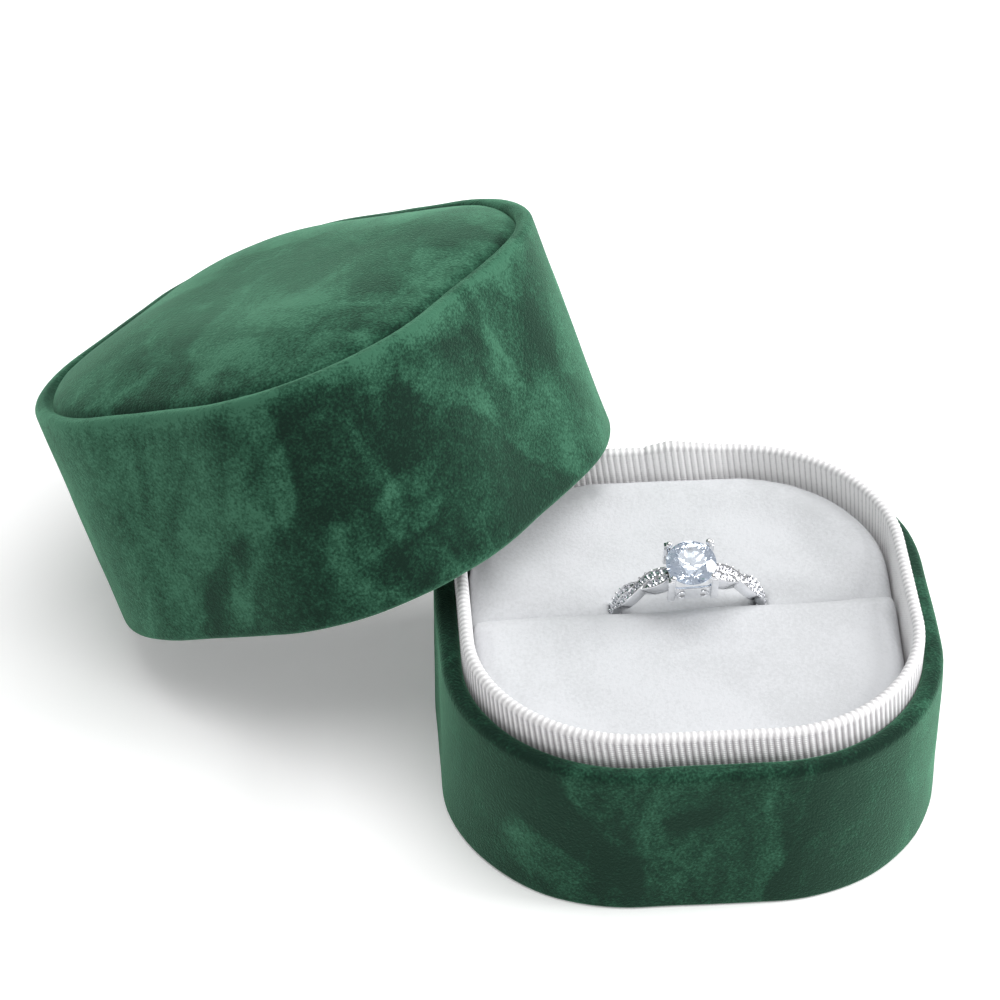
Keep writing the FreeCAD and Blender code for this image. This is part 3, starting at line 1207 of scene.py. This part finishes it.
def makeLowerBand():
    clearSelection()
    begin = math.radians(ring["lowerStart"])
    chip = 0.4 * mm  # a short length of the band, of which one end is spun round
    middle = ring["bore"] + ring["lowerThickness"] / 2
    bpy.ops.mesh.primitive_cube_add(size=1, location=(0, middle * mm, 0))
    band = bpy.context.object
    band.name = "lowerBand"
    band.scale = (chip, ring["lowerThickness"] * mm, ring["bandWidth"] * mm)
    applyTransform(location=True, scale=True)
    pick(band, "EDGE", alongX(chip / 2))
    roundEdges(ring["lowerRound"], 5)
    pick(band, "FACE", lambda mesh, face: abs(face.normal.x) > 0.9)
    bpy.ops.mesh.delete(type="FACE")
    leaveEdit()
    pick(band, "VERT", lambda mesh, point: point.co.x < 0)
    bpy.ops.mesh.delete(type="VERT")
    chooseAll()
    moveBy((-chip / 2, 0, 0))
    leaveEdit()
    band.rotation_euler = (0, 0, -begin)
    applyTransform(rotation=True)
    editAll()
    bpy.ops.mesh.spin(steps=72, angle=2 * math.pi - 2 * begin, center=(0, 0, 0), axis=(0, 0, 1))
    chooseAll()
    bpy.ops.mesh.fill_holes(sides=60)
    tidyMesh(band, 1e-7)
    return band


head = {
    "girdle": 12.75,
    "stoneRadius": 3.02,
    "crown": 1.0,
    "pavilion": 2.7,
    "table": 0.56,
    "crownBreak": (0.8, 0.54),  # shares of the radius and of the height
    "pavilionBreak": (0.34, 0.74),
    "culet": 0.02,
    "girdleHeight": 0.14,
    "girdlePoints": 32,
    "facets": 8,
    "postWidth": 0.88,
    "postDepth": 0.66,
    "postFoot": 9.05,
    "postTop": 13.1,
    "postPlace": 2.58,
    "postRound": 0.12,
    "tipRise": 0.35,
    "tipTaper": (0.8, 0.9, 1),
    "clawRadius": 0.4,
    "clawRise": 0.32,
    "clawInset": 0.28,
    "galleryHalf": 2.7,
    "galleryCorner": 1.1,
    "galleryLow": 9.0,
    "galleryHigh": 11.3,
    "galleryThickness": 0.4,
    "galleryRound": 0.13,
    "scrollRadius": 0.62,
    "scrollWire": 0.13,
    "scrollStretch": 1.5,
    "scrollOpening": 0.3,
    "scrollAside": 1.2,
    "scrollStand": 0.02,
}


def makeCentreStone():
    radius = head["stoneRadius"] * mm
    girdle = head["girdleHeight"]
    facets = head["facets"]
    crownShare, crownRise = head["crownBreak"]
    pavilionShare, pavilionFall = head["pavilionBreak"]
    levels = [  # share of the radius, height from the girdle, points, part of a step turned
        (head["table"], head["crown"] + girdle, facets, 0.5),
        (crownShare, head["crown"] * crownRise + girdle, facets, 0.0),
        (1.0, girdle, head["girdlePoints"], 0.0),
        (1.0, 0.0, head["girdlePoints"], 0.0),
        (pavilionShare, -head["pavilion"] * pavilionFall, facets, 0.5),
        (head["culet"], -head["pavilion"], facets, 0.5),
    ]
    clearSelection()
    stone = None
    for share, height, count, part in levels:
        turn = 2 * math.pi / count * part
        spot = (0, 0, (head["girdle"] + height) * mm)
        bpy.ops.mesh.primitive_circle_add(
            vertices=count, radius=share * radius, location=spot, rotation=(0, 0, turn))
        if stone is None:
            stone = bpy.context.object
            stone.name = "centreStone"
            applyTransform(location=True, rotation=True)
            bpy.ops.object.mode_set(mode="EDIT")
    chooseAll()
    bpy.ops.mesh.convex_hull()
    leaveEdit()
    tidyMesh(stone, 1e-7)
    return stone


def makePost(sideX, sideY):  # straight strap with a round claw leaning over the stone
    length = head["postTop"] - head["postFoot"]
    corner = Vector((sideX, sideY, 0)) * head["postPlace"]
    middle = corner + Vector((0, 0, head["postFoot"] + length / 2))
    clearSelection()
    bpy.ops.mesh.primitive_cube_add(size=1, location=middle * mm)
    post = bpy.context.object
    post.scale = (head["postWidth"] * mm, head["postDepth"] * mm, length * mm)
    applyTransform(location=True, scale=True)
    inward = -corner.normalized() * head["clawInset"] * mm
    pick(post, "FACE", lambda mesh, face: face.normal.z > 0.9)
    extrude(inward + Vector((0, 0, head["tipRise"] * mm)))
    bpy.ops.transform.resize(value=head["tipTaper"])
    chooseAll()
    roundEdges(head["postRound"], 3)
    leaveEdit()
    clearSelection()
    tip = corner * mm + inward + Vector((0, 0, (head["postTop"] + head["clawRise"]) * mm))
    bpy.ops.mesh.primitive_uv_sphere_add(
        segments=20, ring_count=12, radius=head["clawRadius"] * mm, location=tip)
    claw = bpy.context.object
    applyTransform(location=True)
    return [post, claw]


def makeScroll(sideX):  # open curl that ends the gallery beside each post
    clearSelection()
    bpy.ops.mesh.primitive_torus_add(
        major_radius=head["scrollRadius"] * mm, minor_radius=head["scrollWire"] * mm,
        major_segments=24, minor_segments=8, rotation=(math.radians(90), 0, 0))
    scroll = bpy.context.object
    scroll.scale = (1, 1, head["scrollStretch"])
    applyTransform(rotation=True, scale=True)
    pick(scroll, "VERT", lambda mesh, point: point.co.x * sideX < -head["scrollOpening"] * mm)
    bpy.ops.mesh.delete(type="VERT")
    chooseAll()
    bpy.ops.mesh.fill_holes(sides=20)
    height = (head["galleryLow"] + head["galleryHigh"]) / 2
    front = -head["galleryHalf"] - head["scrollStand"]
    moveBy(Vector((sideX * head["scrollAside"], front, height)) * mm)
    leaveEdit()
    return scroll


def makeHead():
    parts = []
    for sideX, sideY in ((-1, -1), (-1, 1), (1, -1), (1, 1)):
        parts.extend(makePost(sideX, sideY))
    parts.append(makeBand(
        "gallery", 2 * head["galleryHalf"], head["galleryCorner"], head["galleryThickness"],
        head["galleryLow"], head["galleryRound"], head["galleryHigh"], head["galleryRound"]))
    for sideX in (-1, 1):
        scroll = makeScroll(sideX)
        parts.append(scroll)
        twin = copyTo(scroll, (0, 0, 0))
        twin.rotation_euler = (0, 0, math.pi)
        applyTransform(rotation=True)
        parts.append(twin)
    return join(parts, "ringHead")


def standUp(piece, flat):
    spot = sunkMatrix() @ Matrix.Rotation(math.radians(ringSeat["roll"]), 4, "Y")
    if flat:
        spot = spot @ Matrix.Rotation(math.radians(90), 4, "X")
    activate(piece)
    piece.matrix_world = spot
    applyTransform(location=True, rotation=True, scale=True)


def makeRing():
    stones, beads = setPave()
    shoulders = join([makeStrand(-1), makeStrand(1), beads], "ringShank")
    for piece in (shoulders, stones):
        bendRound(piece)
        addMirrored(piece)
    shank = join([shoulders, makeLowerBand()], "ringShank")
    headPiece = makeHead()
    centre = makeCentreStone()
    standUp(shank, True)
    standUp(stones, True)
    standUp(headPiece, False)
    standUp(centre, False)
    smooth(shank, 35)
    smooth(headPiece, 40)
    finishPiece(shank, "ring", ringMetal, "ring_metal", "ring_shank")
    finishPiece(stones, "ring", smallStone, "stone_clear", "pave_stones")
    finishPiece(headPiece, "ring", ringMetal, "ring_metal", "ring_head")
    finishPiece(centre, "ring", clearStone, "stone_clear", "centre_stone")


makeRing()
print("ring made")


# Inner pieces that keep their own shape

def dressNodes():
    finishes = {
        greyBoard: ("base_wall_board", "base_floor_board", "lid_wall_board", "lid_top_board"),
        whiteCard: ("neck_card",),
        whiteLining: ("lid_lining", "lid_ceiling_pad"),
        greenSheet: ("base_bottom_cover",),
    }
    for material, names in finishes.items():
        for name in names:
            cover(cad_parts[name], material)


dressNodes()
print("inner pieces dressed")


# Table, light and camera

studio = {
    "table": (0.97, 0.97, 0.97),
    "tableSize": 3.0,  # metres
    "toneSize": 80.0,
    "toneFall": 0.99,
    "tableGlow": 0.2,  # keeps the shadows faint
    "aim": (-10, 10, 20),
    "world": 0.36,
    "lights": (  # name, place, size, power
        ("overhead", (120, 20, 1100), 1100, 11.0),
        ("right", (900, 0, 520), 560, 9.0),
    ),
}


def makeTable():
    clearSelection()
    bpy.ops.mesh.primitive_grid_add(x_subdivisions=4, y_subdivisions=4, size=studio["tableSize"])
    table = bpy.context.object
    table.name = "tableTop"
    material, tree, shader = newMaterial("paleTable")
    tone = addNoise(tree, mapped(tree), studio["toneSize"], 1.0)
    lighter = studio["table"]
    darker = tuple(value * studio["toneFall"] for value in lighter)
    paint(tree, shader, tone, [(0.3, darker), (0.7, lighter)])
    setInputs(shader, {
        "Roughness": 0.9,
        "Specular IOR Level": 0.0,
        "Emission Color": (1, 1, 1, 1),
        "Emission Strength": studio["tableGlow"],
    })
    table.data.materials.append(material)


def addLights():
    target = Vector(studio["aim"]) * mm
    for name, place, size, power in studio["lights"]:
        lamp = bpy.data.lights.new(name, "AREA")
        lamp.size = size * mm
        lamp.energy = power
        holder = bpy.data.objects.new(name, lamp)
        holder.location = Vector(place) * mm
        holder.rotation_euler = (target - holder.location).to_track_quat("-Z", "Y").to_euler()
        bpy.context.scene.collection.objects.link(holder)
    world = bpy.data.worlds.new("studio")
    world.use_nodes = True
    setInputs(world.node_tree.nodes["Background"], {"Color": (1, 1, 1, 1), "Strength": studio["world"]})
    bpy.context.scene.world = world
    bpy.context.scene.view_settings.view_transform = "Standard"  # keeps the greens deep


def addCamera():
    lens = bpy.data.cameras.new("camera")
    lens.lens = camera["lens"]
    lens.sensor_width = camera["sensor"]
    lens.clip_start = 0.01
    holder = bpy.data.objects.new("camera", lens)
    holder.location = Vector(camera["place"]) * mm
    holder.rotation_euler = (math.radians(90 - camera["height"]), 0, math.radians(camera["turn"]))
    bpy.context.scene.collection.objects.link(holder)
    bpy.context.scene.camera = holder


makeTable()
addLights()
addCamera()
print("studio made")
